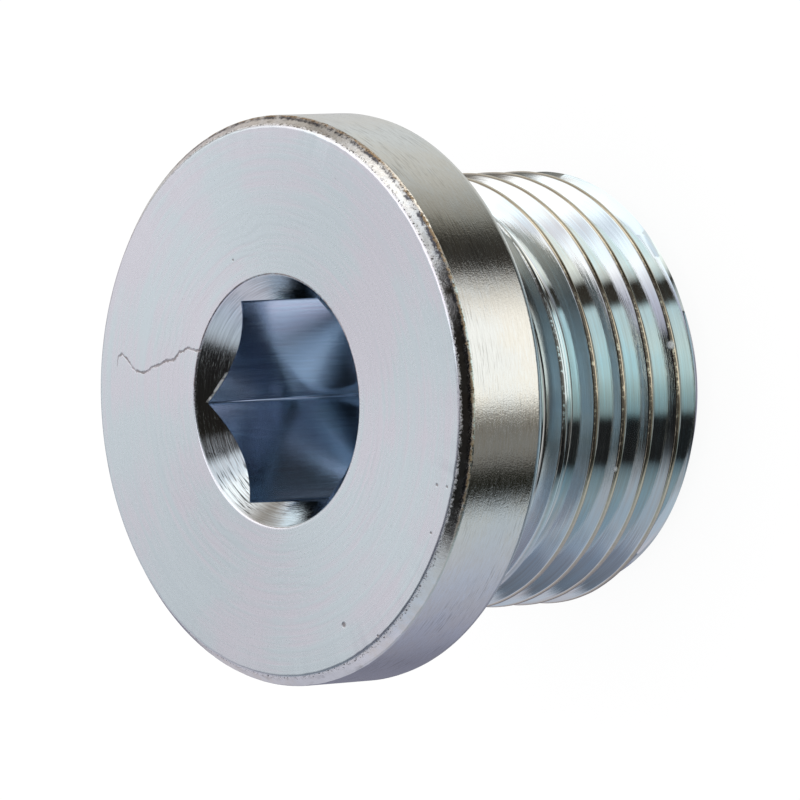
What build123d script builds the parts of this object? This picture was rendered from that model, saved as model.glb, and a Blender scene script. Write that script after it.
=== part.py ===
from build123d import *

import math
import os

# Hex socket screw plug with a collar, thread M18 x 1.5. The origin is the centre of the sealing
# face under the collar: +Z runs out of the socket mouth, and the threaded shank lies below z = 0.

# Collar
collar_diameter = 23.0
collar_height = 4.25
face_chamfer = 0.42
underside_round = 0.4

# Shank and its metric thread
thread_diameter = 18.0
pitch = 1.5
crest_diameter = 17.86
shank_length = 12.0
end_diameter = 14.9
relief_diameter = 15.9
relief_length = 2.5
relief_fillet = 0.7
shoulder_diameter = 17.2
full_thread_height = -4.2  # from the shoulder down to here the first turn grows to its full height
thread_angle = 60.0
crest_height = -5.08  # where one crest crosses the +X direction

# Hex socket
across_flats = 8.2
socket_depth = 9.1
drill_diameter = 7.9
drill_point_angle = 118.0
mouth_diameter = 10.22
mouth_half_angle = 43.0

collar_radius = collar_diameter / 2
crest_radius = crest_diameter / 2
relief_radius = relief_diameter / 2
shoulder_radius = shoulder_diameter / 2
end_radius = end_diameter / 2

# Metric profile: the root is p/6 wide at its own diameter, d - 1.22687 p
flank_slope = math.tan(math.radians(thread_angle / 2))
root_radius = (thread_diameter - 1.22687 * pitch) / 2
root_width = pitch / 6
groove_reach = thread_diameter / 2 + 0.1
groove_turns = 8
groove_start = crest_height - 5.5 * pitch


def turned_body():
    """The outline of the plug, turned about the axis, before the thread and the socket are cut."""
    # The fillet is tangent to the relief and to the shoulder, which slopes like the thread's flank
    half_turn = math.radians(90 - thread_angle / 2) / 2
    fillet_reach = relief_fillet * math.tan(half_turn)
    shoulder_foot = -relief_length - fillet_reach
    shoulder_top = shoulder_foot - (shoulder_radius - relief_radius) * flank_slope
    fillet_start = (
        relief_radius + fillet_reach * math.sin(2 * half_turn),
        shoulder_foot - fillet_reach * math.cos(2 * half_turn),
    )
    chamfer_start = shank_length - (crest_radius - end_radius)
    with BuildPart() as body:
        with BuildSketch(Plane.XZ):
            with BuildLine():
                Polyline(
                    (0, -shank_length),
                    (end_radius, -shank_length),
                    (crest_radius, -chamfer_start),
                    (crest_radius, full_thread_height),
                    (shoulder_radius, shoulder_top),
                    fillet_start,
                )
                RadiusArc(fillet_start, (relief_radius, -relief_length), relief_fillet)
                Polyline(
                    (relief_radius, -relief_length),
                    (relief_radius, 0),
                    (collar_radius - underside_round, 0),
                )
                RadiusArc(
                    (collar_radius - underside_round, 0),
                    (collar_radius, underside_round),
                    -underside_round,
                )
                Polyline(
                    (collar_radius, underside_round),
                    (collar_radius, collar_height - face_chamfer),
                    (collar_radius - face_chamfer, collar_height),
                    (0, collar_height),
                    (0, -shank_length),
                )
            make_face()
        revolve(axis=Axis.Z)
    return body.part


def thread_rod():
    """A plain rod at the crest diameter, from past the end of the shank up into the relief."""
    return Pos(0, 0, groove_start) * Cylinder(
        crest_radius, groove_turns * pitch, align=(Align.CENTER, Align.CENTER, Align.MIN)
    )


def thread_groove():
    """One right-hand groove, a whole number of turns long, over the length of the rod."""
    half_root = root_width / 2
    half_reach = half_root + (groove_reach - root_radius) * flank_slope
    outline = Polyline(
        (root_radius, 0, -half_root),
        (groove_reach, 0, -half_reach),
        (groove_reach, 0, half_reach),
        (root_radius, 0, half_root),
        close=True,
    )
    path = Helix(pitch, groove_turns * pitch, root_radius)
    return Pos(0, 0, groove_start) * sweep(make_face(outline), path=path, is_frenet=True)


def downward_cone(radius, half_angle):
    """A cone whose wide end is at z = 0 and whose point is below it."""
    height = radius / math.tan(math.radians(half_angle))
    return Cone(0, radius, height, align=(Align.CENTER, Align.CENTER, Align.MAX))


def socket():
    """The hex socket with its countersunk mouth, and the drill's point under its floor."""
    hexagon = RegularPolygon(across_flats / 2, 6, major_radius=False)
    bore = Pos(0, 0, collar_height - socket_depth) * extrude(hexagon, socket_depth)
    mouth = Pos(0, 0, collar_height) * downward_cone(mouth_diameter / 2, mouth_half_angle)
    drill_point = downward_cone(drill_diameter / 2, drill_point_angle / 2)
    return bore + mouth + Pos(0, 0, collar_height - socket_depth) * drill_point


rod = thread_rod()
thread_space = rod - (rod - thread_groove())
plug_body = turned_body() - thread_space - socket()

os.makedirs("parts", exist_ok=True)
export_step(plug_body, "parts/plug_body.step")
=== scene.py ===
import math

import bpy
import numpy as np
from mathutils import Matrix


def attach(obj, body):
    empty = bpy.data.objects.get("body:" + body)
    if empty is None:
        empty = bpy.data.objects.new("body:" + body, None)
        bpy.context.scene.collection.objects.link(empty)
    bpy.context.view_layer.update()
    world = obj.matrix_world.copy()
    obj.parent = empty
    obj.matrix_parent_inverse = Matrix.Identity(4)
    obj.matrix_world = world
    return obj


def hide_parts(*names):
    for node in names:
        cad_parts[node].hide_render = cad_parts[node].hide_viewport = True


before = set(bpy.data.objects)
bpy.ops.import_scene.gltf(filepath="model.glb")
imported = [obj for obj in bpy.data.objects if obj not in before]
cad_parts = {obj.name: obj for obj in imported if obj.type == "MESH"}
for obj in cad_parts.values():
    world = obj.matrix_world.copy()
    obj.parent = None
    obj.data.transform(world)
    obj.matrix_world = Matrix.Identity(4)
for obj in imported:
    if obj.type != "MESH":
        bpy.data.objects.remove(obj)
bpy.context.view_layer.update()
print("frame loaded")

millimetre = 0.001

# where the eye stands: the plug stands on its thread end, and up in the view is the plug's +Y
viewpoint = {
    "azimuth": 0.95,  # degrees from +X
    "polar": 48.78,  # degrees from +Z
    "tilt": 3.11,  # degrees of turn about the line of sight
    "lens": 405.0,  # mm, with the sensor's width
    "sensor": 36.0,
    "across": -1.805,  # mm, the sealing face's middle seen from the camera
    "down": -0.125,
    "away": 364.577,
    "nearest": 0.01,  # m, what the camera takes in
    "farthest": 20.0,
}


def makeCamera(v):
    # right, up and back are the camera's own axes, written in the plug's frame
    polar, tilt, azimuth = (math.radians(v[k]) for k in ("polar", "tilt", "azimuth"))
    level = np.array([math.cos(polar), 0.0, -math.sin(polar)])
    side = np.array([0.0, 1.0, 0.0])
    right = math.cos(tilt) * level - math.sin(tilt) * side
    up = math.sin(tilt) * level + math.cos(tilt) * side
    back = np.array([math.sin(polar), 0.0, math.cos(polar)])
    c, s = math.cos(azimuth), math.sin(azimuth)
    turn = np.array([[c, -s, 0.0], [s, c, 0.0], [0.0, 0.0, 1.0]])
    right, up, back = turn @ right, turn @ up, turn @ back
    place = millimetre * (back * v["away"] - right * v["across"] + up * v["down"])
    data = bpy.data.cameras.new("viewCamera")
    data.lens, data.sensor_width = v["lens"], v["sensor"]
    data.clip_start, data.clip_end = v["nearest"], v["farthest"]
    camera = bpy.data.objects.new("viewCamera", data)
    bpy.context.scene.collection.objects.link(camera)
    rows = [[right[i], up[i], back[i], place[i]] for i in range(3)]
    camera.matrix_world = [list(column) for column in zip(*rows, (0.0, 0.0, 0.0, 1.0))]  # it fills by columns
    bpy.context.scene.camera = camera


makeCamera(viewpoint)
print("camera placed")

# lengths in mm, angles in degrees; z = 0 is the sealing face under the collar
collar = {
    "radius": 11.5,
    "height": 4.25,
    "chamfer": 0.42,
    "chamferRounding": 0.16,
    "rearRounding": 0.4,
    "neckRounding": 0.12,  # between the relief and the sealing face
    "edgeSteps": 4,  # divisions of each rounded edge
    "longestRun": 1.6,
    "edgeWander": 0.008,  # how far the chamfer's two edges stray
    "wanderReach": 0.045,  # how far from the edge that is felt
    "wanderDrop": 0.6,  # how much it goes down for each mm in
    "wanderWaves": (20, 110),  # waves round the collar, from and to
}
shank = {
    "length": 12.0,
    "crestRadius": 8.93,
    "rootRadius": 8.0798,
    "rootWidth": 0.25,
    "crestFlat": 0.21,
    "pitch": 1.5,
    "crestHeight": -5.08,  # where one crest crosses +X
    "crestRounding": 0.12,
    "rootRounding": 0.09,
    "reliefRadius": 7.95,
    "reliefLength": 2.5,
    "reliefRounding": 0.7,
    "shoulderAngle": 30.0,  # between the shoulder above the thread and the level
    "shoulderRadius": 8.78,
    "fullHeight": -4.3,  # the first turn grows from here down
    "firstHeight": -3.55,  # and up here it lies this much lower
    "firstDrop": 0.26,
    "footBlend": 0.45,  # how softly the first turn's flank runs into the relief
    "endRadius": 7.45,
    "endRounding": 0.02,
    "bevelRounding": 0.3,
    "firstRounding": 0.08,
    "longestRun": 0.3,
    "closeRows": (-5.6, -2.6, 0.08),  # from, to and apart: more rows by the shoulder
    "crestWander": 0.005,
    "wanderDepth": 0.25,  # how far below the crest that is felt
    "wanderWaves": ((19, 3.1, 0.0), (41, -7.7, 1.0), (7, 5.0, 0.0)),  # round the axis, per mm of height, phase
}
socket = {
    "acrossFlats": 8.2,
    "depth": 9.1,
    "drillRadius": 3.95,
    "drillHalfAngle": 59.0,
    "cornerRounding": 0.08,
    "mouthRadius": 5.11,
    "mouthHalfAngle": 43.0,
    "mouthRounding": 0.11,
    "mouthRun": 0.4,  # the length of cone that goes with the mouth's rounding
    "wallRounding": 0.05,
    "floorRounding": 0.1,
}
columns = 336  # round the axis; a multiple of six, so that each socket corner has one
crowding = 0.4  # columns stand closer at the socket's corners by this share
sharpAngle = 38  # degrees; a sharper edge stays crisp
skinZones = ("turnedFace", "turnedRim", "countersink", "broachedWall", "drilledFloor", "cutThread")


def columnAngles():
    # angle = u - crowding/6 * sin(6u), with u even round the circle
    u = np.arange(columns + 1) * 2 * np.pi / columns
    return u - crowding / 6 * np.sin(6 * u)


def roundCorners(points, radii, steps, guard=0.03):
    # each corner becomes an arc tangent to both its sides, which begins radius / tan(half the corner) from it, with a
    # guard point before and after the arc
    points = np.array(points, float)
    out = [points[:1]]
    for before, corner, after, radius in zip(points, points[1:], points[2:], radii):
        u = (before - corner) / np.linalg.norm(before - corner)
        w = (after - corner) / np.linalg.norm(after - corner)
        half = math.acos(np.clip(u @ w, -1, 1)) / 2
        reach = radius / math.tan(half)
        middle = corner + (u + w) / np.linalg.norm(u + w) * radius / math.sin(half)
        sweep = np.linspace(-1, 1, steps + 1)[:, None] * (np.pi / 2 - half)
        inward = (corner - middle) / np.linalg.norm(corner - middle)
        across = (w - u) / np.linalg.norm(w - u)
        arc = middle + radius * (np.cos(sweep) * inward + np.sin(sweep) * across)
        out += [corner[None] + u * (reach + guard), arc, corner[None] + w * (reach + guard)]
    return np.concatenate(out + [points[-1:]])


def divide(profile, longest):
    # puts even points on each run of a profile that is longer than the longest allowed
    out = [profile[:1]]
    for a, b in zip(profile, profile[1:]):
        parts = max(1, math.ceil(np.linalg.norm(b - a) / longest))
        out.append(a + (b - a) * (np.arange(1, parts + 1) / parts)[:, None])
    return np.concatenate(out)


def waver(seed, waves, size):
    # a closed, seeded wave round the axis: the sum of cosines of random phase
    rng = np.random.default_rng(seed)
    count = 60
    n = rng.integers(waves[0], waves[1], count)
    phase = rng.uniform(0, 2 * np.pi, count)
    angles = columnAngles()
    return size * np.cos(n[:, None] * angles + phase[:, None]).sum(0) / math.sqrt(count / 2)


def revolve(profile):
    # x = r cos a, y = r sin a, z = z for each point (r, z) of the profile and each column's angle a
    angles = columnAngles()
    r = np.repeat(profile[:, :1], len(angles), 1)
    z = np.repeat(profile[:, 1:], len(angles), 1)
    return r, z


def hexRadius(angles):
    # distance from the axis to the socket's wall: flat / cos(angle from the flat's middle), and an arc at each corner
    flat = socket["acrossFlats"] / 2
    rounding = socket["cornerRounding"]
    middle = (flat - rounding) / math.cos(math.pi / 6)
    fromFlat = (angles + 1e-12) % (np.pi / 3) - np.pi / 6
    fromCorner = np.pi / 6 - abs(fromFlat)
    wall = flat / np.cos(fromFlat)
    inside = np.maximum(rounding**2 - (middle * np.sin(fromCorner)) ** 2, 0)
    arc = middle * np.cos(fromCorner) + np.sqrt(inside)
    turn = math.atan2(rounding / 2, middle + rounding * math.cos(math.pi / 6))
    return np.where(fromCorner < turn, arc, wall)


def collarRows():
    # the outline from the relief, over the collar, to the socket's mouth, turned about the axis
    c, s = collar, socket
    half = math.radians(s["mouthHalfAngle"])
    mouth = (s["mouthRadius"], c["height"])
    outline = roundCorners(
        [
            (shank["reliefRadius"], -shank["reliefLength"]),
            (shank["reliefRadius"], 0.0),
            (c["radius"], 0.0),
            (c["radius"], c["height"] - c["chamfer"]),
            (c["radius"] - c["chamfer"], c["height"]),
            mouth,
            (mouth[0] - s["mouthRun"] * math.sin(half), mouth[1] - s["mouthRun"] * math.cos(half)),
        ],
        [c["neckRounding"], c["rearRounding"], c["chamferRounding"], c["chamferRounding"], s["mouthRounding"]],
        c["edgeSteps"],
    )
    profile = divide(outline[:-1], c["longestRun"])
    r, z = revolve(profile)
    # the chamfer's edges, the third and fourth corners, wander: most at the edge, by exp(-(distance / reach)^2)
    perCorner = c["edgeSteps"] + 3
    for seed, corner in ((3, 2), (5, 3)):
        start = 1 + corner * perCorner
        middle = outline[start : start + perCorner].mean(0)
        near = np.exp(-(((profile - middle) ** 2).sum(1)) / c["wanderReach"] ** 2)[:, None]
        chips = near * abs(waver(seed, c["wanderWaves"], c["edgeWander"]))
        r, z = r - chips, z - c["wanderDrop"] * chips
    return r, z, profile


def socketRows(start):
    # from the mouth's rounding down the cone, down the wall, and in over the floor; the cone meets the wall at
    # z = height - (mouthRadius - the wall's radius) / tan(half angle), so a flat begins lower than a corner
    s = socket
    angles = columnAngles()
    half = math.radians(s["mouthHalfAngle"])
    wall = hexRadius(angles)
    meet = collar["height"] - (s["mouthRadius"] - wall) / math.tan(half)
    reach = s["wallRounding"] * math.tan(half / 2)
    turn = np.linspace(0, half, 5)
    bendR = reach * math.sin(half) - s["wallRounding"] * (math.cos(half) - np.cos(half - turn))
    bendZ = reach * math.cos(half) - s["wallRounding"] * (math.sin(half) - np.sin(half - turn))
    bendR, bendZ = bendR[:, None], bendZ[:, None]
    bendR = wall + bendR - bendR[-1]
    bendZ = meet + bendZ - bendZ[-1] - reach
    guard = 0.02  # a row this near each side of the bend keeps the bend round
    down = np.linspace(0, 1, 7)[:, None]
    coneR = start[0] + (bendR[0] + guard * math.sin(half) - start[0]) * down
    coneZ = start[1] + (bendZ[0] + guard * math.cos(half) - start[1]) * down
    floor = collar["height"] - s["depth"]
    low = floor + s["floorRounding"]
    share = np.array([0.0, 0.01, 0.2, 0.4, 0.6, 0.8, 0.99, 1.0])[:, None]
    wallR = np.repeat(wall[None], 8, 0)
    wallZ = bendZ[-1] - guard + (low - bendZ[-1] + guard) * share
    bend = np.linspace(0, np.pi / 2, 5)[1:, None]
    footR = wall - s["floorRounding"] * (1 - np.cos(bend))
    footZ = np.repeat(low - s["floorRounding"] * np.sin(bend), len(angles), 1)
    # the drill's point: z = floor - (drillRadius - r) / tan(half angle), from drillRadius to the axis
    inward = np.array([1.0, 0.97, 0.7, 0.4, 0.15, 0.0])[:, None]
    floorR = np.repeat(s["drillRadius"] * inward, len(angles), 1)
    floorZ = floor - (s["drillRadius"] - floorR) / math.tan(math.radians(s["drillHalfAngle"]))
    rows = [(coneR, coneZ), (bendR, bendZ), (wallR, wallZ), (footR, footZ), (floorR, floorZ)]
    return [np.concatenate([pair[i] for pair in rows]) for i in (0, 1)]


def shankRows():
    # a row keeps its place s on the thread's profile and climbs one pitch a turn: z = s + pitch * angle / 360,
    # r = the lesser of the thread's profile at s, lowered on the first turn, and the turned blank at z
    t = shank
    angles = columnAngles()
    low, high = t["rootRadius"], t["crestRadius"]
    profile = roundCorners(
        [
            (-t["pitch"] / 2, low),
            ((t["rootWidth"] - t["pitch"]) / 2, low),
            (-t["crestFlat"] / 2, high),
            (t["crestFlat"] / 2, high),
            ((t["pitch"] - t["rootWidth"]) / 2, low),
            (t["pitch"] / 2, low),
        ],
        [t["rootRounding"], t["crestRounding"], t["crestRounding"], t["rootRounding"]],
        3,
        0.02,
    )
    profile = divide(profile, t["longestRun"])
    turns = np.arange(math.floor(-t["length"] / t["pitch"]) - 2, 5) * t["pitch"]  # some lie past both ends
    close = np.arange(*t["closeRows"])
    rows = np.unique(np.round(np.concatenate([(turns[:, None] + profile[:-1, 0]).ravel(), close]), 6))
    rows = rows + t["crestHeight"] % t["pitch"]
    lead = t["pitch"] * angles / (2 * np.pi)
    z = rows[:, None] + lead
    slope = math.radians(t["shoulderAngle"])
    foot = -t["reliefLength"] - t["reliefRounding"] * math.tan((math.pi / 2 - slope) / 2)
    shoulder = foot - (t["shoulderRadius"] - t["reliefRadius"]) * math.tan(slope)
    bevel = -t["length"] + high - t["endRadius"]
    blank = roundCorners(
        [
            (-t["length"], t["endRadius"]),
            (bevel, high),
            (t["fullHeight"], high),
            (shoulder, t["shoulderRadius"]),
            (foot, t["reliefRadius"]),
            (0.0, t["reliefRadius"]),
        ],
        [t["endRounding"], t["bevelRounding"], t["firstRounding"], t["reliefRounding"]],
        6,
        0.01,
    )
    z[abs(z - bevel).argmin(0), np.arange(len(angles))] = bevel  # each column's nearest row is set on this edge
    z = np.clip(z, -t["length"], -t["reliefLength"])
    along = (z - lead - t["crestHeight"] + t["pitch"] / 2) % t["pitch"] - t["pitch"] / 2
    r = np.interp(along, profile[:, 0], profile[:, 1])
    # the first turn is lowered by firstDrop times an eased rise from 0 to 1
    rise = np.clip((z - t["fullHeight"]) / (t["firstHeight"] - t["fullHeight"]), 0, 1)
    r = r - t["firstDrop"] * rise**2 * (3 - 2 * rise)
    # the larger of the flank and the relief, with a soft corner between them
    blend = t["footBlend"] * rise + 1e-6
    soft = np.maximum(blend - abs(r - t["reliefRadius"]), 0) / blend
    r = np.maximum(r, t["reliefRadius"]) + soft**2 * blend / 4
    onCrest = np.clip((r - high + t["wanderDepth"]) / t["wanderDepth"], 0, 1) ** 2
    waves = sum(np.sin(angles * n + z * perMm + phase) for n, perMm, phase in t["wanderWaves"])
    r = r + onCrest * t["crestWander"] * (waves / len(t["wanderWaves"]) - 1)
    return np.minimum(r, np.interp(z, blank[:, 0], blank[:, 1])), z


def endRows():
    # the flat end: z = -length, and r from the axis out to the end's bevel
    r = shank["endRadius"] * np.array([0.0, 0.2, 0.4, 0.6, 0.8, 0.95, 1.0])[:, None]
    r = np.repeat(r, columns + 1, 1)
    return r, np.full_like(r, -shank["length"])


def gridFaces(rowCount, first):
    # two triangles for each cell of a grid of rows by columns
    a = first + np.arange(rowCount - 1)[:, None] * (columns + 1) + np.arange(columns)
    b, c, d = a + 1, a + columns + 2, a + columns + 1
    return np.stack([np.stack([a, b, c], -1), np.stack([a, c, d], -1)], -2).reshape(-1, 3)


def makePlug():
    # all rows run up the outside and down into the socket, so that every face looks out
    angles = columnAngles()
    endR, endZ = endRows()
    shankR, shankZ = shankRows()
    collarR, collarZ, profile = collarRows()
    faceStart = int(np.argmax(profile[:, 1] > collar["height"] - 1e-6)) - 3  # within the rounded edge
    socketR, socketZ = socketRows((profile[-1, 0], profile[-1, 1]))
    coneEnd, wallEnd = 9, 23  # the socket's rows at which one finish gives way to the next
    # the rows' radii, their heights, and the place of their finish in skinZones
    blocks = [
        (endR, endZ, 1),
        (shankR, shankZ, 5),
        (collarR[: faceStart + 1], collarZ[: faceStart + 1], 1),
        (collarR[faceStart:], collarZ[faceStart:], 0),
        (socketR[: coneEnd + 1], socketZ[: coneEnd + 1], 2),
        (socketR[coneEnd : wallEnd + 1], socketZ[coneEnd : wallEnd + 1], 3),
        (socketR[wallEnd:], socketZ[wallEnd:], 4),
    ]
    points, faces, zones, first = [], [], [], 0
    for r, z, zone in blocks:
        points.append(np.stack([r * np.cos(angles), r * np.sin(angles), z], -1).reshape(-1, 3))
        faces.append(gridFaces(len(r), first))
        zones.append(np.full(len(faces[-1]), zone))
        first += r.size
    points, faces, zones = np.concatenate(points), np.concatenate(faces), np.concatenate(zones)
    # points in the same place become one, and faces left with two alike corners go
    place, same = np.unique(np.round(points, 4), axis=0, return_index=True, return_inverse=True)[1:]
    faces = same.reshape(-1)[faces]
    whole = (faces[:, 0] != faces[:, 1]) & (faces[:, 1] != faces[:, 2]) & (faces[:, 2] != faces[:, 0])
    mesh = bpy.data.meshes.new("plug")
    mesh.from_pydata((points[place] * millimetre).tolist(), [], faces[whole].tolist())
    mesh.polygons.foreach_set("material_index", zones[whole].astype(np.int32))
    mesh.polygons.foreach_set("use_smooth", np.ones(int(whole.sum()), bool))
    mesh.set_sharp_from_angle(angle=math.radians(sharpAngle))
    mesh.update()
    plug = bpy.data.objects.new("plug", mesh)
    bpy.context.scene.collection.objects.link(plug)
    print("plug built:", len(mesh.polygons), "faces")
    return plug


def feed(tree, socketIn, value):
    # a number or colour is set, an output is linked
    if isinstance(value, bpy.types.NodeSocket):
        tree.links.new(value, socketIn)
    else:
        socketIn.default_value = value


def calc(tree, operation, *values):
    node = tree.nodes.new("ShaderNodeMath")
    node.operation = operation
    for slot, value in zip(node.inputs, values):
        feed(tree, slot, value)
    return node.outputs[0]


def times(tree, first, *others):
    for other in others:
        first = calc(tree, "MULTIPLY", first, other)
    return first


def plus(tree, first, *others):
    for other in others:
        first = calc(tree, "ADD", first, other)
    return first


def ramp(tree, value, low, high, toLow=0.0, toHigh=1.0, smooth=True):
    # maps low..high to toLow..toHigh, held at both ends
    node = tree.nodes.new("ShaderNodeMapRange")
    node.interpolation_type = "SMOOTHSTEP" if smooth else "LINEAR"
    for slot, number in zip(node.inputs, (value, low, high, toLow, toHigh)):
        feed(tree, slot, number)
    return node.outputs[0]


def window(tree, value, low, full, ebb, high):
    # 0 below low, 1 from full to ebb, 0 again above high
    return times(tree, ramp(tree, value, low, full), ramp(tree, value, ebb, high, 1.0, 0.0))


def noise(tree, vector, scale, detail, roughness):
    node = tree.nodes.new("ShaderNodeTexNoise")
    feed(tree, node.inputs["Vector"], vector)
    node.inputs["Scale"].default_value = scale
    node.inputs["Detail"].default_value = detail
    node.inputs["Roughness"].default_value = roughness
    return node.outputs["Fac"]


def mixColour(tree, share, a, b, blend="MIX"):
    node = tree.nodes.new("ShaderNodeMix")
    node.data_type, node.blend_type = "RGBA", blend
    feed(tree, node.inputs["Factor"], share)
    feed(tree, node.inputs["A"], a)
    feed(tree, node.inputs["B"], b)
    return node.outputs["Result"]


def combine(tree, x, y, z):
    node = tree.nodes.new("ShaderNodeCombineXYZ")
    for slot, value in zip(node.inputs, (x, y, z)):
        feed(tree, slot, value)
    return node.outputs[0]


def around(tree, at, sweep, across, along):
    # a vector that changes fast with the sweep and slowly round the axis
    return combine(tree, times(tree, sweep, across), times(tree, at["cos"], along), times(tree, at["sin"], along))


def polar(tree):
    # the plug's own coordinates in mm: place, x, y, z, radius, and the unit vector's two parts round the axis
    scale = tree.nodes.new("ShaderNodeVectorMath")
    scale.operation = "SCALE"
    feed(tree, scale.inputs[0], tree.nodes.new("ShaderNodeTexCoord").outputs["Object"])
    scale.inputs["Scale"].default_value = 1 / millimetre
    split = tree.nodes.new("ShaderNodeSeparateXYZ")
    feed(tree, split.inputs[0], scale.outputs[0])
    x, y, z = split.outputs
    radius = calc(tree, "SQRT", plus(tree, times(tree, x, x), times(tree, y, y)))
    safe = calc(tree, "MAXIMUM", radius, 0.01)  # never 0, on the axis
    return {
        "place": scale.outputs[0],
        "x": x,
        "y": y,
        "z": z,
        "radius": radius,
        "cos": calc(tree, "DIVIDE", x, safe),
        "sin": calc(tree, "DIVIDE", y, safe),
    }


# one row for each way the zinc was left: marks are grooves per mm across and along the tool's path, shade is how dark
# the streaks get, depth is the grooves' in mm, grain is its share of that, and climb is how much a mark's height
# counts beside its radius (None: the marks run down the walls)
finishes = {
    "turnedFace": {
        "colour": (0.80, 0.84, 0.885, 1),
        "warm": (0.84, 0.82, 0.885, 1),
        "cool": (0.76, 0.87, 0.90, 1),
        "roughness": (0.24, 0.31),
        "marks": (4.0, 1.2),
        "shade": 0.95,
        "depth": 0.0035,
        "grain": 0.07,
        "anisotropy": 0.3,
        "climb": 0.83,
    },
    "turnedRim": {
        "colour": (0.84, 0.85, 0.85, 1),
        "warm": (0.88, 0.86, 0.82, 1),
        "cool": (0.81, 0.85, 0.89, 1),
        "roughness": (0.05, 0.13),
        "marks": (18.0, 26.0),
        "shade": 0.86,
        "depth": 0.005,
        "grain": 0.7,
        "anisotropy": 0.5,
        "climb": 0.83,
    },
    "countersink": {
        "colour": (0.80, 0.87, 0.92, 1),
        "warm": (0.82, 0.86, 0.90, 1),
        "cool": (0.76, 0.87, 0.93, 1),
        "roughness": (0.04, 0.12),
        "marks": (13.0, 2.2),
        "shade": 0.66,
        "depth": 0.005,
        "grain": 0.1,
        "anisotropy": 0.0,
        "climb": 0.83,
    },
    "broachedWall": {
        # darker than the outer zinc: this colour holds painted shade of the deep socket
        "colour": (0.54, 0.65, 0.74, 1),
        "warm": (0.58, 0.64, 0.74, 1),
        "cool": (0.50, 0.64, 0.74, 1),
        "roughness": (0.09, 0.15),
        "marks": (8.0, 0.3),
        "shade": 0.88,
        "depth": 0.0016,
        "grain": 0.05,
        "anisotropy": 0.0,
        "climb": None,
    },
    "drilledFloor": {
        "colour": (0.72, 0.74, 0.84, 1),
        "warm": (0.74, 0.74, 0.83, 1),
        "cool": (0.70, 0.75, 0.85, 1),
        "roughness": (0.22, 0.26),
        "marks": (3.0, 1.0),
        "shade": 0.96,
        "depth": 0.001,
        "grain": 0.2,
        "anisotropy": 0.0,
        "climb": 0.83,
    },
    "cutThread": {
        "colour": (0.77, 0.84, 0.86, 1),
        "warm": (0.82, 0.84, 0.85, 1),
        "cool": (0.68, 0.82, 0.90, 1),
        "roughness": (0.03, 0.09),
        "marks": (13.0, 1.6),
        "shade": 0.80,
        "depth": 0.0028,
        "grain": 0.06,
        "anisotropy": 0.3,
        "climb": 0.12,
        "crest": (0.70, 0.64, 0.52, 1),  # the rolled crests are duller and yellower
        "crestRoughness": 0.06,
        "crestEdge": (0.06, 0.02),  # mm below the crest at which this begins and is whole
        "crestPaintedShade": (0.09, 0.07, 0.06, 1),  # a dark line along the upper side of each crest: painted shade in place of the crest rounding's dark reflection; from and to in mm
        "crestPaintedShadeReach": (0.0, 0.12),
        "crestPaintedShadeSoft": (0.02, 0.01, 0.01, 0.03),  # mm, the soft ends of that
        "crestPaintedShadeBelow": (-0.5, -0.2, 0.15, 1.0),  # how it fades towards -Y, by the sine of the angle from +X
        "crestPaintedShadeAbove": (0.45, 0.7, 1.0, 0.2),  # and towards +Y
        "crestPaintedShadeRoughness": 0.15,
    },
}
# what all the finishes share
zincMix = {
    "cloudShare": 0.6,  # of the tint, and the streaks have the rest
    "tintRange": (0.42, 0.58),  # from warm to cool
    "tint": 0.7,
    "shadeRange": (0.3, 0.7),  # of the streaks, from the finish's shade to full
    "streakShare": 0.6,  # of the roughness, and the grain has the rest
    "roughRange": (0.35, 0.65),
}
# plain noises: scale per mm, detail, roughness; the streaks' scale is in their grooves
noises = {
    "streaks": (1.0, 4.0, 0.65),
    "clouds": (0.22, 3.0, 0.55),
    "grain": (14.0, 2.0, 0.6),
    "crackStray": (9.0, 3.0, 0.5),
    "chamferStray": (7.0, 3.0, 0.7),
    "ringDrift": (0.5, 3.0, 0.5),
}
# noises made into patches: scale, detail, roughness, then the noise at each end and what it gives there
breaks = {
    "crackFade": (2.0, 2.0, 0.5, 0.3, 0.6, 0.5, 1.0),
    "sparkle": (4.5, 4.0, 0.7, 0.42, 0.5, 0.05, 0.95),
    "darkReflection": (1.7, 4.0, 0.75, 0.40, 0.54, 0.15, 0.9),
    "grit": (11.0, 2.0, 0.7, 0.56, 0.62, 0.0, 0.85),
    "ringsShow": (0.3, 2.0, 0.5, 0.42, 0.62, 0.0, 1.0),
    "burrGaps": (6.0, 2.0, 0.5, 0.35, 0.5, 0.3, 1.0),
    "scratchLines": (1.0, 2.0, 0.6, 0.52, 0.64, 0.0, 1.0),
    "outlineGaps": (3.0, 3.0, 0.7, 0.4, 0.56, 0.0, 1.0),
    "crestPaintedShadeGaps": (5.0, 3.0, 0.7, 0.36, 0.5, 0.25, 0.9),
    "scuffs": (3.2, 5.0, 0.75, 0.66, 0.74, 1.0, 0.72),
}
# the hairline crack in the plating of the face, from the mouth outwards: x and y in mm
crack = {
    "path": [
        (-4.34, 2.20), (-4.78, 2.13), (-5.03, 2.18), (-5.34, 2.27), (-5.74, 2.11), (-5.92, 2.12), (-6.00, 2.00),
        (-6.27, 1.80), (-6.78, 1.77), (-7.17, 1.62), (-7.62, 1.54), (-7.95, 1.39), (-8.22, 1.31), (-8.72, 1.40),
        (-9.00, 1.62), (-9.21, 1.87), (-9.57, 2.12), (-9.84, 1.98), (-9.91, 1.64),
    ],
    "halfWidth": 0.035,
    "softness": (0.4, 2.2),  # half widths at which its edge begins and ends
    "stray": 0.16,  # mm from end to end
    "colour": (0.30, 0.24, 0.23, 1),
    "strength": 0.7,
    "roughness": 0.3,
    "groove": 4.0,  # times the depth of the tool's marks
}
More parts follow.
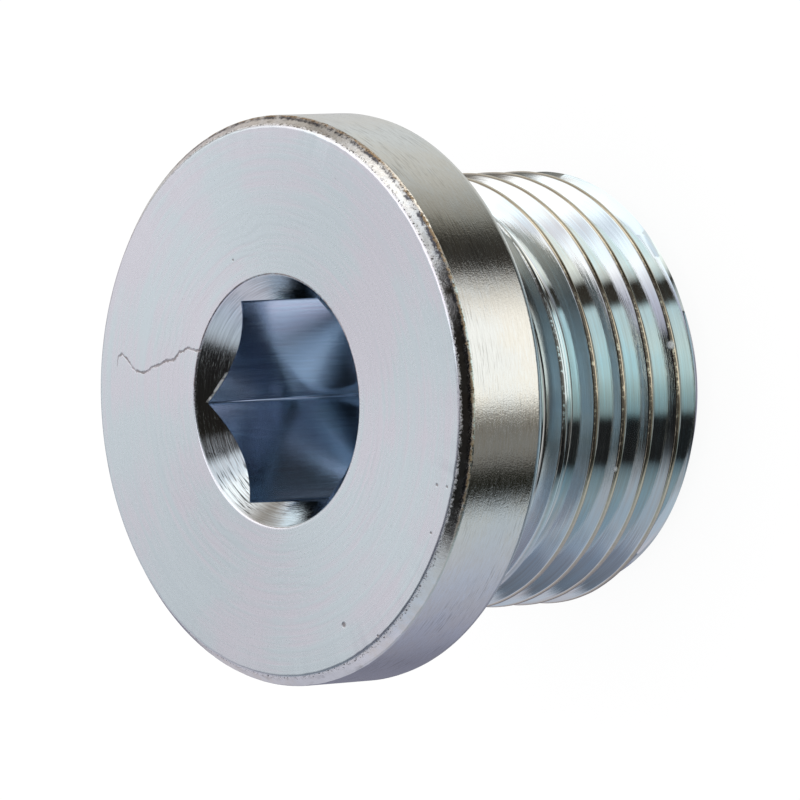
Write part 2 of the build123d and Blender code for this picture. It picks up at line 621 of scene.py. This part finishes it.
# dark specks and tiny pits: x, y, z, radius in mm
specks = [
    (-2.27, 5.75, 4.25, 0.05),
    (9.57, -3.49, 4.25, 0.07),
    (10.16, -3.57, 4.25, 0.06),
    (9.09, -5.38, 4.25, 0.06),
    (3.60, -9.01, 4.25, 0.12),
    (5.64, -9.45, 4.25, 0.06),
]
# the chamfer's two edges: a bright broken line inside, a painted highlight; outside a dark line, a painted dark
# reflection, and a brown one; and dark grit along both
chamferWearAndSheen = {
    "stray": 0.22,  # mm from end to end
    "fade": (-0.6, -0.3),  # the outer lines end towards -Y, by the sine of the angle from +X
    "above": (-0.12, -0.02),  # mm from the chamfer's foot at which all of this begins and is whole
    "inside": 11.11,  # radius in mm
    "insideWidth": 0.085,
    # the inside line's colour is a painted highlight
    "insideHighlightColour": (0.97, 0.97, 0.99, 1),
    "outside": 3.85,  # height in mm
    "outsideWidth": 0.075,
    "outsideColour": (0.50, 0.36, 0.22, 1),
    "roughness": 0.5,  # of both
    "darkReflection": 3.93,  # height in mm of the dark line beside it, a painted dark reflection
    "darkReflectionWidth": 0.10,
    "darkReflectionColour": (0.05, 0.05, 0.07, 1),
    "darkReflectionRoughness": 0.1,
    "gritWidths": (0.16, 0.20),  # inside and outside
    "gritColour": (0.07, 0.06, 0.055, 1),
    "gritRoughness": 0.3,
}
# pale spots on the crests where small dents are, painted highlights of the dents: x, y, z, radius in mm
dentHighlights = [
    (8.28, -3.28, -7.74, 0.20),
    (8.28, -3.26, -9.22, 0.18),
    (8.25, -3.35, -6.50, 0.13),
    (8.77, 1.56, -9.42, 0.18),
]
dentHighlightLook = {"colour": (0.93, 0.95, 0.97, 1), "roughness": 0.6}
# fine dark scratches: lines per mm across, breaks along them, patches per mm, how many show on +Y's side, how dark
scratches = {
    "turnedRim": {"across": 20.0, "along": 12.0, "patches": 0.35, "upper": 1.0, "strength": 0.26},
    "countersink": {"across": 14.0, "along": 4.0, "patches": 0.5, "upper": 0.15, "strength": 0.9},
}
scratchPatches = (2.0, 0.5, 0.42, 0.62, 0.12, 1.0)  # as in breaks, without the scale
scratchFade = (-0.6, -0.1)  # the sines of the angle from +X between which +Y's side takes over
# the fine rings that the tool left on part of the face: radii in mm with their soft ends, rings per mm, how dark
toolRings = {"from": 5.5, "fromSoft": 0.5, "to": 8.6, "toSoft": 1.2, "perMm": 2.9, "drift": 1.2, "strength": 0.035}
# a white line beside one of the socket's walls, a painted highlight of the ridge there: the wall's angle, and its
# start and end along y in mm
burrHighlight = {
    "wall": 150.0,
    "width": 0.08,
    "along": (0.05, 1.0),
    "soft": (0.05, 0.3),
    "colour": (1.0, 1.0, 1.0, 1),
    "roughness": 0.65,
}
# the thin line round the mouth on the +Y side: how far outside the mouth, and the sines at which it comes in
mouthOutline = {
    "outside": 0.02,
    "width": 0.045,
    "side": (-0.15, 0.15),
    "strength": 0.7,
    "colour": (0.40, 0.30, 0.27, 1),
}


def broken(tree, vector, scale, detail, roughness, low, high, toLow, toHigh):
    # a noise held to toLow under low and to toHigh over high
    return ramp(tree, noise(tree, vector, scale, detail, roughness), low, high, toLow, toHigh)


def stray(tree, at, pattern, size):
    # size * (noise - 0.5)
    return times(tree, calc(tree, "SUBTRACT", noise(tree, at["place"], *noises[pattern]), 0.5), size)


def lineMask(tree, value, middle, width, core=0.3):
    # 1 within the core's share of the width from the middle, and 0 a width away
    away = calc(tree, "ABSOLUTE", calc(tree, "SUBTRACT", value, middle))
    return ramp(tree, away, core * width, width, 1.0, 0.0)


def spotMask(tree, at, spots):
    # 1 near each spot's middle, and 0 a little outside its radius
    solid, gone = 0.4, 1.3  # in radii
    total = None
    for x, y, z, radius in spots:
        node = tree.nodes.new("ShaderNodeVectorMath")
        node.operation = "DISTANCE"
        feed(tree, node.inputs[0], at["place"])
        node.inputs[1].default_value = (x, y, z)
        spot = ramp(tree, node.outputs["Value"], solid * radius, gone * radius, 1.0, 0.0)
        total = spot if total is None else calc(tree, "MAXIMUM", total, spot)
    return total


def lay(tree, colour, rough, share, paint, dulled):
    # paint lies over this share of the surface, and the surface is that much rougher under it
    return mixColour(tree, share, colour, paint), plus(tree, rough, times(tree, share, dulled))


def darken(tree, colour, shade):
    # colour * shade
    return mixColour(tree, 1.0, colour, combine(tree, shade, shade, shade), "MULTIPLY")


def weigh(tree, a, b, ofA):
    # a * ofA + b * (1 - ofA)
    return plus(tree, times(tree, a, ofA), times(tree, b, 1 - ofA))


def crackMask(tree, at):
    # 1 within halfWidth of the path's y at this x, by a curve through the path's points
    margin = 0.1
    ordered = sorted(crack["path"])
    ys = [y for x, y in ordered]
    loX, hiX, loY, hiY = ordered[0][0], ordered[-1][0], min(ys) - margin, max(ys) + margin
    curve = tree.nodes.new("ShaderNodeFloatCurve")
    feed(tree, curve.inputs["Value"], ramp(tree, at["x"], loX, hiX, smooth=False))
    line = curve.mapping.curves[0]
    for point, (x, y) in zip(line.points, (ordered[0], ordered[-1])):
        point.location = ((x - loX) / (hiX - loX), (y - loY) / (hiY - loY))
    for x, y in ordered[1:-1]:
        line.points.new((x - loX) / (hiX - loX), (y - loY) / (hiY - loY))
    for point in line.points:
        point.handle_type = "VECTOR"
    curve.mapping.update()
    level = ramp(tree, curve.outputs[0], 0.0, 1.0, loY, hiY, smooth=False)
    middle = plus(tree, level, stray(tree, at, "crackStray", crack["stray"]))
    away = calc(tree, "ABSOLUTE", calc(tree, "SUBTRACT", at["y"], middle))
    begins, ends = (share * crack["halfWidth"] for share in crack["softness"])
    near = ramp(tree, away, begins, ends, 1.0, 0.0)
    inside = times(tree, calc(tree, "GREATER_THAN", at["x"], loX), calc(tree, "LESS_THAN", at["x"], hiX))
    return times(tree, near, inside, broken(tree, at["place"], *breaks["crackFade"]))


def ringShade(tree, at):
    # 1 - strength * the upper half of sin(2 pi * perMm * radius), which a slow noise lets drift, inside the rings'
    # reach and where another noise lets them show
    t = toolRings
    drifting = plus(tree, at["radius"], times(tree, noise(tree, at["place"], *noises["ringDrift"]), t["drift"]))
    wave = calc(tree, "SINE", times(tree, drifting, 2 * math.pi * t["perMm"]))
    inside = window(tree, at["radius"], t["from"], t["from"] + t["fromSoft"], t["to"] - t["toSoft"], t["to"])
    depth = times(tree, inside, broken(tree, at["place"], *breaks["ringsShow"]), t["strength"])
    return calc(tree, "SUBTRACT", 1.0, times(tree, depth, ramp(tree, wave, 0.0, 1.0)))


def scratchShade(tree, at, sweep, s):
    # 1 - strength on thin dark lines round the axis, gathered in patches
    lines = broken(tree, around(tree, at, sweep, s["across"], s["along"]), *breaks["scratchLines"])
    patches = broken(tree, at["place"], s["patches"], *scratchPatches)
    patches = times(tree, patches, ramp(tree, at["sin"], *scratchFade, 1.0, s["upper"]))
    return calc(tree, "SUBTRACT", 1.0, times(tree, lines, patches, s["strength"]))


def burrHighlightMask(tree, at):
    # 1 where x cos w + y sin w, the distance towards the wall at angle w, is half the hex's width; a short stretch,
    # which gets a painted highlight
    turn = math.radians(burrHighlight["wall"])
    toWall = plus(tree, times(tree, at["x"], math.cos(turn)), times(tree, at["y"], math.sin(turn)))
    near = lineMask(tree, toWall, socket["acrossFlats"] / 2, burrHighlight["width"], core=0.4)
    begins, ends = burrHighlight["along"]
    inside = window(tree, at["y"], begins - burrHighlight["soft"][0], begins, ends, ends + burrHighlight["soft"][1])
    return times(tree, near, inside, broken(tree, at["place"], *breaks["burrGaps"]))


def outlineMask(tree, at):
    # a thin broken ring beside the socket's mouth
    m = mouthOutline
    ring = lineMask(tree, at["radius"], socket["mouthRadius"] + m["outside"], m["width"])
    side = times(tree, ramp(tree, at["sin"], *m["side"]), m["strength"])
    return times(tree, ring, broken(tree, at["place"], *breaks["outlineGaps"]), side)


def crestPaintedShadeMask(tree, at, f):
    # along = (height above the crest's line, less the helix's climb) within one pitch; 1 inside the reach, broken by
    # noise, and fading towards +Y and -Y: where the crests get a painted dark line in place of their dark reflection
    climb = calc(tree, "DIVIDE", calc(tree, "ARCTAN2", at["y"], at["x"]), 2 * math.pi)
    height = calc(tree, "DIVIDE", calc(tree, "SUBTRACT", at["z"], shank["crestHeight"]), shank["pitch"])
    turns = 10.5  # whole turns that keep the fraction above 0, and half a turn that is taken off again
    turn = calc(tree, "FRACT", plus(tree, calc(tree, "SUBTRACT", height, climb), turns))
    along = times(tree, calc(tree, "SUBTRACT", turn, 0.5), shank["pitch"])
    begins, ends = f["crestPaintedShadeReach"]
    soft = f["crestPaintedShadeSoft"]
    inside = window(tree, along, begins - soft[0], begins + soft[1], ends - soft[2], ends + soft[3])
    fades = times(tree, *(ramp(tree, at["sin"], *f[side]) for side in ("crestPaintedShadeBelow", "crestPaintedShadeAbove")))
    return times(tree, inside, broken(tree, at["place"], *breaks["crestPaintedShadeGaps"]), fades)


def paintCrestWearAndSheen(tree, at, colour, rough, f):
    # the crest; the painted shade along it, a dark line in place of its dark reflection; and pale spots, painted
    # highlights of small dents
    begins, whole = (shank["crestRadius"] - depth for depth in f["crestEdge"])
    top = ramp(tree, at["radius"], begins, whole)
    colour, rough = lay(tree, colour, rough, top, f["crest"], f["crestRoughness"])
    # painted shade: a dark line along each crest, standing for the dark reflection of its rounding
    paintedShadeShare = crestPaintedShadeMask(tree, at, f)
    colour, rough = lay(tree, colour, rough, paintedShadeShare, f["crestPaintedShade"], f["crestPaintedShadeRoughness"])
    # the pale spots are painted highlights of small dents
    return lay(tree, colour, rough, spotMask(tree, at, dentHighlights), dentHighlightLook["colour"], dentHighlightLook["roughness"])


def paintChamferWearAndSheen(tree, at, colour, rough):
    # each line follows its radius or height, made ragged by noise, and the outer two fade towards -Y; the bright
    # inside line is a painted highlight and the dark outer line a painted dark reflection
    c = chamferWearAndSheen
    foot = collar["height"] - collar["chamfer"]
    ragged = stray(tree, at, "chamferStray", c["stray"])
    radius, z = plus(tree, at["radius"], ragged), plus(tree, at["z"], ragged)
    onChamfer = ramp(tree, at["z"], *(foot + step for step in c["above"]))
    outer = times(tree, onChamfer, ramp(tree, at["sin"], *c["fade"]))
    sparkle, patches, dots = (broken(tree, at["place"], *breaks[name]) for name in ("sparkle", "darkReflection", "grit"))
    gritInside = lineMask(tree, radius, c["inside"], c["gritWidths"][0])
    gritOutside = times(tree, lineMask(tree, z, c["outside"], c["gritWidths"][1]), outer)
    grit = calc(tree, "MAXIMUM", gritInside, gritOutside)
    darkReflection = lineMask(tree, z, c["darkReflection"], c["darkReflectionWidth"])
    outside = lineMask(tree, z, c["outside"], c["outsideWidth"])
    inside = lineMask(tree, radius, c["inside"], c["insideWidth"])
    layers = (
        (darkReflection, patches, outer, c["darkReflectionColour"], c["darkReflectionRoughness"]),
        (outside, patches, outer, c["outsideColour"], c["roughness"]),
        (inside, sparkle, onChamfer, c["insideHighlightColour"], c["roughness"]),
        (grit, dots, onChamfer, c["gritColour"], c["gritRoughness"]),
    )
    for line, pieces, where, paint, dulled in layers:
        colour, rough = lay(tree, colour, rough, times(tree, line, pieces, where), paint, dulled)
    return colour, rough


def wearFace(tree, at, colour, rough, height):
    # the line round the mouth, the tool's rings, scuffs, specks and the crack, which is also a groove
    colour = mixColour(tree, outlineMask(tree, at), colour, mouthOutline["colour"])
    shade = times(tree, ringShade(tree, at), broken(tree, at["place"], *breaks["scuffs"]))
    colour = darken(tree, colour, shade)
    line = calc(tree, "MAXIMUM", crackMask(tree, at), spotMask(tree, at, specks))
    colour = mixColour(tree, times(tree, line, crack["strength"]), colour, crack["colour"])
    rough = plus(tree, rough, times(tree, line, crack["roughness"]))
    return colour, rough, calc(tree, "SUBTRACT", height, times(tree, line, crack["groove"]))


def makeZinc(name, f):
    material = bpy.data.materials.new(name)
    material.use_nodes = True
    tree = material.node_tree
    shader = tree.nodes["Principled BSDF"]
    at = polar(tree)
    across, along = f["marks"]
    if f["climb"]:  # marks circle the axis: fast across radius and height, slow round it
        sweep = plus(tree, at["radius"], times(tree, at["z"], f["climb"]))
        flow = around(tree, at, sweep, across, along)
    else:  # marks run down the walls
        flow = combine(tree, times(tree, at["x"], across), times(tree, at["y"], across), times(tree, at["z"], along))
    streaks = noise(tree, flow, *noises["streaks"])
    clouds = noise(tree, at["place"], *noises["clouds"])
    grain = noise(tree, at["place"], *noises["grain"])
    m = zincMix
    tint = ramp(tree, weigh(tree, clouds, streaks, m["cloudShare"]), *m["tintRange"])
    colour = mixColour(tree, m["tint"], f["colour"], mixColour(tree, tint, f["warm"], f["cool"]))
    shade = ramp(tree, streaks, *m["shadeRange"], f["shade"], 1.0, smooth=False)
    if name in scratches:
        shade = times(tree, shade, scratchShade(tree, at, sweep, scratches[name]))
    colour = darken(tree, colour, shade)
    rough = ramp(tree, weigh(tree, streaks, grain, m["streakShare"]), *m["roughRange"], *f["roughness"])
    height = plus(tree, streaks, times(tree, grain, f["grain"]))
    if name == "cutThread":
        colour, rough = paintCrestWearAndSheen(tree, at, colour, rough, f)
    elif name == "countersink":
        # a painted highlight: a white line where the ridge by one wall stands
        colour, rough = lay(tree, colour, rough, burrHighlightMask(tree, at), burrHighlight["colour"], burrHighlight["roughness"])
    elif name == "turnedRim":
        colour, rough = paintChamferWearAndSheen(tree, at, colour, rough)
    elif name == "turnedFace":
        colour, rough, height = wearFace(tree, at, colour, rough, height)
    bump = tree.nodes.new("ShaderNodeBump")
    bump.inputs["Strength"].default_value = 1.0
    bump.inputs["Distance"].default_value = f["depth"] * millimetre
    feed(tree, bump.inputs["Height"], height)
    feed(tree, shader.inputs["Normal"], bump.outputs[0])
    feed(tree, shader.inputs["Base Color"], colour)
    feed(tree, shader.inputs["Roughness"], rough)
    shader.inputs["Metallic"].default_value = 1.0
    if f["anisotropy"]:
        tangent = tree.nodes.new("ShaderNodeTangent")
        tangent.direction_type, tangent.axis = "RADIAL", "Z"
        shader.inputs["Anisotropic"].default_value = f["anisotropy"]
        feed(tree, shader.inputs["Tangent"], tangent.outputs[0])
    return material


plug = makePlug()
for zone in skinZones:
    plug.data.materials.append(makeZinc(zone, finishes[zone]))
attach(plug, "root")
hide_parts("plug_body")
print("zinc laid on")

# the studio round the plug, as rings of soft panels that the metal sees: a ring begins at the height "above",
# the z of its direction, and each stop is (degrees round from +X, colour)
studio = {
    "underneath": {
        "above": -1.0,
        "stops": [(-180, (0.34, 0.45, 0.51)), (180, (0.34, 0.45, 0.51))],
    },
    "skirt": {
        "above": -0.95,
        "stops": [
            (-180, (0.40, 0.42, 0.46)), (-120, (0.26, 0.30, 0.36)), (-74, (0.18, 0.22, 0.26)),
            (-60, (0.05, 0.06, 0.06)), (-48, (0.05, 0.06, 0.06)), (-42, (0.14, 0.21, 0.26)),
            (-36, (0.15, 0.22, 0.27)), (-28, (0.10, 0.14, 0.17)), (-18, (0.11, 0.13, 0.15)),
            (10, (0.12, 0.16, 0.18)), (30, (0.10, 0.13, 0.15)), (45, (0.10, 0.11, 0.11)),
            (62, (0.04, 0.05, 0.06)), (82, (0.24, 0.25, 0.23)), (102, (0.50, 0.52, 0.48)),
            (125, (0.70, 0.68, 0.62)), (180, (0.40, 0.42, 0.46)),
        ],
    },
    "low": {
        "above": -0.82,
        "stops": [
            (-180, (0.22, 0.22, 0.28)), (-136, (0.22, 0.22, 0.28)), (-108, (0.36, 0.37, 0.46)),
            (-80, (0.48, 0.51, 0.59)), (-50, (0.55, 0.60, 0.61)), (-47, (0.38, 0.40, 0.40)),
            (-44, (0.015, 0.015, 0.01)), (-32, (0.015, 0.015, 0.01)), (-29, (0.20, 0.19, 0.17)),
            (-20, (0.25, 0.24, 0.21)), (-16, (0.17, 0.16, 0.14)), (-8, (0.24, 0.23, 0.20)),
            (-5, (1.14, 1.12, 1.03)), (30, (1.16, 1.13, 1.04)), (47, (0.50, 0.49, 0.46)),
            (50, (0.035, 0.032, 0.028)), (68, (0.045, 0.042, 0.035)), (75, (0.28, 0.27, 0.23)),
            (100, (0.60, 0.60, 0.56)), (130, (0.72, 0.73, 0.70)), (180, (0.60, 0.60, 0.60)),
        ],
    },
    "belt": {
        "above": -0.42,
        "stops": [
            (-180, (0.54, 0.51, 0.54)), (-150, (0.58, 0.56, 0.62)), (-120, (0.56, 0.55, 0.61)),
            (-98, (0.42, 0.43, 0.49)), (-76, (0.40, 0.45, 0.50)), (-60, (0.40, 0.46, 0.48)),
            (-50, (0.28, 0.35, 0.37)), (-45, (0.18, 0.23, 0.25)), (-41, (0.02, 0.02, 0.02)),
            (-19, (0.02, 0.02, 0.02)), (-15, (0.34, 0.43, 0.42)), (-5, (0.58, 0.68, 0.62)),
            (4, (0.84, 0.97, 0.90)), (15, (0.92, 1.07, 1.01)), (37, (0.84, 1.00, 1.00)),
            (41, (0.06, 0.05, 0.04)), (51, (0.05, 0.04, 0.03)), (55, (0.90, 0.88, 0.80)),
            (62, (1.45, 1.40, 1.25)), (85, (1.45, 1.35, 1.20)), (98, (0.60, 0.55, 0.50)),
            (108, (0.34, 0.28, 0.22)), (122, (0.58, 0.55, 0.51)), (150, (0.66, 0.60, 0.57)),
            (180, (0.54, 0.51, 0.54)),
        ],
    },
    "brow": {
        "above": 0.18,
        "stops": [
            (-180, (0.55, 0.57, 0.60)), (-150, (0.58, 0.57, 0.62)), (-120, (0.64, 0.62, 0.68)),
            (-98, (0.62, 0.61, 0.68)), (-62, (0.48, 0.50, 0.52)), (-52, (0.30, 0.34, 0.35)),
            (-42, (0.05, 0.06, 0.05)), (-20, (0.07, 0.08, 0.08)), (-8, (0.40, 0.42, 0.36)),
            (15, (0.48, 0.50, 0.42)), (36, (0.45, 0.45, 0.44)), (46, (0.50, 0.48, 0.50)),
            (62, (0.95, 0.93, 0.92)), (92, (1.0, 0.96, 0.93)), (108, (0.80, 0.76, 0.72)),
            (122, (0.36, 0.31, 0.26)), (142, (0.18, 0.16, 0.14)), (156, (0.40, 0.40, 0.40)),
            (180, (0.55, 0.57, 0.60)),
        ],
    },
    "temple": {
        "above": 0.42,
        "stops": [
            (-180, (0.76, 0.75, 0.77)), (-172, (0.72, 0.71, 0.73)), (-160, (0.20, 0.21, 0.25)),
            (-128, (0.16, 0.18, 0.22)), (-112, (0.22, 0.25, 0.32)), (-98, (0.54, 0.59, 0.69)),
            (-72, (0.54, 0.59, 0.64)), (-56, (0.34, 0.36, 0.38)), (-40, (0.66, 0.64, 0.62)),
            (10, (0.70, 0.66, 0.60)), (32, (0.45, 0.43, 0.40)), (44, (0.06, 0.055, 0.05)),
            (52, (0.03, 0.027, 0.025)), (60, (0.82, 0.84, 0.87)), (76, (0.95, 0.97, 1.0)),
            (84, (1.35, 1.33, 1.30)), (130, (1.50, 1.46, 1.42)), (158, (1.25, 1.22, 1.22)),
            (170, (0.79, 0.78, 0.80)), (180, (0.76, 0.75, 0.77)),
        ],
    },
    "high": {
        "above": 0.58,
        "stops": [
            (-180, (0.80, 0.79, 0.81)), (-172, (0.76, 0.75, 0.77)), (-160, (0.20, 0.21, 0.25)),
            (-128, (0.16, 0.18, 0.22)), (-112, (0.22, 0.25, 0.32)), (-98, (0.54, 0.59, 0.69)),
            (-72, (0.54, 0.59, 0.64)), (-64, (0.36, 0.37, 0.39)), (-58, (0.015, 0.015, 0.015)),
            (40, (0.018, 0.015, 0.012)), (52, (0.03, 0.027, 0.025)), (60, (0.80, 0.82, 0.85)),
            (76, (0.90, 0.93, 0.97)), (84, (1.42, 1.40, 1.38)), (130, (1.50, 1.46, 1.42)),
            (158, (1.25, 1.22, 1.22)), (170, (0.83, 0.82, 0.84)), (180, (0.80, 0.79, 0.81)),
        ],
    },
    "upper": {
        "above": 0.72,
        "stops": [
            (-180, (0.30, 0.30, 0.33)), (-172, (0.12, 0.12, 0.15)), (-162, (0.07, 0.07, 0.09)),
            (-114, (0.08, 0.08, 0.10)), (-98, (0.42, 0.46, 0.52)), (-66, (0.42, 0.45, 0.48)),
            (-58, (0.05, 0.05, 0.06)), (-50, (0.015, 0.015, 0.015)), (32, (0.018, 0.015, 0.012)),
            (40, (0.34, 0.33, 0.34)), (50, (0.68, 0.68, 0.72)), (64, (0.95, 0.96, 1.0)),
            (78, (1.38, 1.36, 1.36)), (92, (1.35, 1.34, 1.34)), (98, (0.95, 0.93, 0.97)),
            (112, (0.95, 0.93, 0.97)), (120, (1.50, 1.47, 1.50)), (158, (1.50, 1.47, 1.50)),
            (172, (0.80, 0.79, 0.83)), (180, (0.60, 0.60, 0.62)),
        ],
    },
    "crown": {
        "above": 0.89,
        "stops": [
            (-180, (0.11, 0.12, 0.14)), (-120, (0.08, 0.09, 0.11)), (-98, (0.06, 0.07, 0.08)),
            (-57, (0.03, 0.03, 0.03)), (-50, (0.015, 0.015, 0.015)), (30, (0.015, 0.015, 0.015)),
            (44, (0.50, 0.50, 0.60)), (58, (0.62, 0.62, 0.74)), (74, (0.74, 0.73, 0.82)),
            (84, (1.45, 1.40, 1.45)), (158, (1.50, 1.47, 1.50)), (180, (0.11, 0.12, 0.14)),
        ],
    },
}
studioLook = {
    "border": 0.04,  # half the soft border between two rings
    "even": (0.97, 0.97, 0.98, 1),  # what lights the floor
    "backdrop": (1, 1, 1, 1),  # what the eye sees
}
# size in m, below the plug's end in mm, and the glow is what the eye alone sees on top of the shade
floorFinish = {"size": 40.0, "below": 0.02, "shade": 0.13, "glow": 0.905}


def makeWorld():
    # the metal sees the rings; the eye sees white; the floor is lit evenly
    world = bpy.data.worlds.new("studio")
    world.use_nodes = True
    bpy.context.scene.world = world
    tree = world.node_tree
    background = tree.nodes["Background"]
    split = tree.nodes.new("ShaderNodeSeparateXYZ")
    feed(tree, split.inputs[0], tree.nodes.new("ShaderNodeTexCoord").outputs["Generated"])
    x, y, z = split.outputs
    turn = ramp(tree, calc(tree, "ARCTAN2", y, x), -math.pi, math.pi, smooth=False)
    colour = None
    for ring in studio.values():
        band = tree.nodes.new("ShaderNodeValToRGB")
        feed(tree, band.inputs[0], turn)
        stops = band.color_ramp.elements
        while len(stops) < len(ring["stops"]):
            stops.new(0.5)
        for stop, (angle, shade) in zip(stops, ring["stops"]):
            stop.position = (angle + 180) / 360
            stop.color = (*shade, 1.0)
        if colour is None:
            colour = band.outputs[0]
        else:
            within = ramp(tree, z, ring["above"] - studioLook["border"], ring["above"] + studioLook["border"])
            colour = mixColour(tree, within, colour, band.outputs[0])
    rays = tree.nodes.new("ShaderNodeLightPath")
    colour = mixColour(tree, rays.outputs["Is Diffuse Ray"], colour, studioLook["even"])
    colour = mixColour(tree, rays.outputs["Is Camera Ray"], colour, studioLook["backdrop"])
    feed(tree, background.inputs["Color"], colour)
    background.inputs["Strength"].default_value = 1.0


def makeFloor():
    mesh = bpy.data.meshes.new("floor")
    half, height = floorFinish["size"] / 2, -(shank["length"] + floorFinish["below"]) * millimetre
    corners = [(-half, -half, height), (half, -half, height), (half, half, height), (-half, half, height)]
    mesh.from_pydata(corners, [], [(0, 1, 2, 3)])
    floor = bpy.data.objects.new("floor", mesh)
    bpy.context.scene.collection.objects.link(floor)
    material = bpy.data.materials.new("paleFloor")
    material.use_nodes = True
    tree = material.node_tree
    tree.nodes.remove(tree.nodes["Principled BSDF"])
    diffuse = tree.nodes.new("ShaderNodeBsdfDiffuse")
    diffuse.inputs["Color"].default_value = (*[floorFinish["shade"]] * 3, 1)
    glow = tree.nodes.new("ShaderNodeEmission")
    rays = tree.nodes.new("ShaderNodeLightPath")
    feed(tree, glow.inputs["Strength"], times(tree, rays.outputs["Is Camera Ray"], floorFinish["glow"]))
    total = tree.nodes.new("ShaderNodeAddShader")
    feed(tree, total.inputs[0], diffuse.outputs[0])
    feed(tree, total.inputs[1], glow.outputs[0])
    clear = tree.nodes.new("ShaderNodeMixShader")  # from below one sees through it
    feed(tree, clear.inputs["Fac"], tree.nodes.new("ShaderNodeNewGeometry").outputs["Backfacing"])
    feed(tree, clear.inputs[1], total.outputs[0])
    feed(tree, clear.inputs[2], tree.nodes.new("ShaderNodeBsdfTransparent").outputs[0])
    feed(tree, tree.nodes["Material Output"].inputs["Surface"], clear.outputs[0])
    mesh.materials.append(material)
    floor.visible_glossy = False


makeWorld()
makeFloor()
bpy.context.scene.view_settings.view_transform = "Standard"
print("studio lit")
